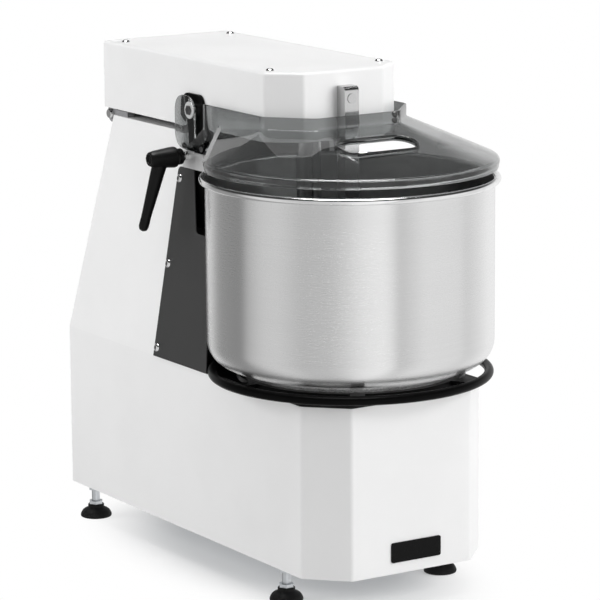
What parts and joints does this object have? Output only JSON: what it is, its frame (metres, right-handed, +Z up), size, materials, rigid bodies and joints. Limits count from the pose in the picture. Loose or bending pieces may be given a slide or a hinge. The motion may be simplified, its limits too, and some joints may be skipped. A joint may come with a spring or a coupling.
{
  "type": "spiral dough mixer",
  "caption": "Bench spiral dough mixer with a turning steel bowl, a hinged clear lid and a head that tilts up after its side levers are released.",
  "frame": {"origin": "on the floor under the centre of the bounding box", "axes": "+Z up, operator at -Y, +X to the operator's right when facing the machine"},
  "size_m": [0.417, 0.7814, 0.7266],
  "materials": {
    "white_powder_coat": "satin powder coat",
    "zinc_sheet": "zinc plated sheet",
    "black_plastic": "satin black",
    "grey_guard": "satin dark grey",
    "stainless": "polished stainless",
    "black_rubber": "matt moulded rubber",
    "black_gloss": "gloss black, plain",
    "steel_plate": "grey primed steel",
    "cast_housing": "cast, painted grey",
    "bearing_steel": "ground steel",
    "motor_paint": "blue grey enamel",
    "chain_steel": "oiled steel",
    "black_paint": "semi gloss black",
    "bowl_stainless": "brushed round the axis",
    "dark_bolt": "blackened steel",
    "smoked_clear": "clear smoked polycarbonate",
    "green_button": "gloss green",
    "red_button": "gloss red"
  },
  "bodies": {
    "base": {"body_shell": "white_powder_coat", "bottom_plate": "zinc_sheet", "deck_plate": "black_plastic", "rear_cover": "white_powder_coat", "side_guard_left": "grey_guard", "side_guard_right": "grey_guard", "housing_screws": "stainless", "foot_pads": "black_rubber", "foot_stems": "zinc_sheet", "foot_nuts": "zinc_sheet", "badge_plate": "black_gloss", "hinge_ears": "steel_plate", "hinge_pin": "stainless", "lock_plates": "steel_plate", "clamp_straps": "stainless", "clamp_studs": "stainless", "head_buffers": "black_rubber", "bowl_bearing_housing": "cast_housing", "base_bearings": "bearing_steel", "gearbox": "cast_housing", "motor": "motor_paint", "bowl_chain": "chain_steel", "layshaft_housing": "cast_housing", "control_plate": "grey_guard", "control_box": "black_plastic", "cable_gland": "black_plastic"},
    "bowl_group": {"turntable": "black_paint", "turntable_hoop": "black_paint", "bowl_spindle": "bearing_steel", "bowl_sprocket": "chain_steel", "bowl": "bowl_stainless", "bowl_foot_ring": "bowl_stainless"},
    "layshaft_group": {"layshaft": "bearing_steel", "layshaft_pinion": "chain_steel", "clutch_lower": "chain_steel"},
    "head": {"head_casing": "white_powder_coat", "head_cover": "white_powder_coat", "cover_screws": "stainless", "head_base_plate": "steel_plate", "head_hinge_tube": "steel_plate", "spiral_housing": "cast_housing", "head_bearings": "bearing_steel", "input_housing": "cast_housing", "head_chain": "chain_steel", "breaker_bar": "stainless", "breaker_screw": "stainless", "lock_bars": "black_paint", "lid_pivot_bolts": "dark_bolt"},
    "input_group": {"input_shaft": "bearing_steel", "clutch_upper": "chain_steel", "input_sprocket": "chain_steel"},
    "spiral": {"spiral_shaft": "stainless", "spiral_sprocket": "chain_steel", "spiral_hook": "stainless"},
    "lid": {"lid_shell": "smoked_clear", "lid_screws": "dark_bolt"},
    "left_lever": {"clamp_lever_left": "black_plastic"},
    "right_lever": {"clamp_lever_right": "black_plastic"},
    "start_button_group": {"start_button": "green_button"},
    "stop_button_group": {"stop_button": "red_button"}
  },
  "joints": [
    {"name": "head_tilt", "type": "hinge", "parent": "base", "child": "head", "pos_m": [0, 0.29975, 0.617], "axis": [-1, 0, 0], "range_deg": [0, 45]},
    {"name": "bowl_spin", "type": "hinge", "parent": "base", "child": "bowl_group", "pos_m": [0, -0.18225, 0.316], "axis": [0, 0, 1], "continuous": true},
    {"name": "layshaft_spin", "type": "hinge", "parent": "base", "child": "layshaft_group", "pos_m": [0, 0.14775, 0.35], "axis": [0, 0, 1], "continuous": true},
    {"name": "input_spin", "type": "hinge", "parent": "head", "child": "input_group", "pos_m": [0, 0.14775, 0.6256], "axis": [0, 0, 1], "continuous": true},
    {"name": "spiral_spin", "type": "hinge", "parent": "head", "child": "spiral", "pos_m": [0, -0.07725, 0.6256], "axis": [0, 0, 1], "continuous": true},
    {"name": "lid_hinge", "type": "hinge", "parent": "head", "child": "lid", "pos_m": [0, 0.04675, 0.652], "axis": [-1, 0, 0], "range_deg": [0, 80]},
    {"name": "left_lever_turn", "type": "hinge", "parent": "base", "child": "left_lever", "pos_m": [-0.1443, 0.06375, 0.5845], "axis": [-1, 0, 0], "range_deg": [-90, 90]},
    {"name": "right_lever_turn", "type": "hinge", "parent": "base", "child": "right_lever", "pos_m": [0.1443, 0.06375, 0.5845], "axis": [-1, 0, 0], "range_deg": [-90, 90]},
    {"name": "start_press", "type": "slide", "parent": "base", "child": "start_button_group", "axis": [-0.9926, 0, -0.1215], "range_m": [0, 0.003], "stiffness_N_per_m": 300, "springref_m": -0.001},
    {"name": "stop_press", "type": "slide", "parent": "base", "child": "stop_button_group", "axis": [-0.9926, 0, -0.1215], "range_m": [0, 0.003], "stiffness_N_per_m": 300, "springref_m": -0.001}
  ],
  "couplings": [
    {"joint": "layshaft_spin", "follows": "bowl_spin", "ratio": 6.6667},
    {"joint": "input_spin", "follows": "bowl_spin", "ratio": 6.6667},
    {"joint": "spiral_spin", "follows": "bowl_spin", "ratio": 6.6667}
  ]
}
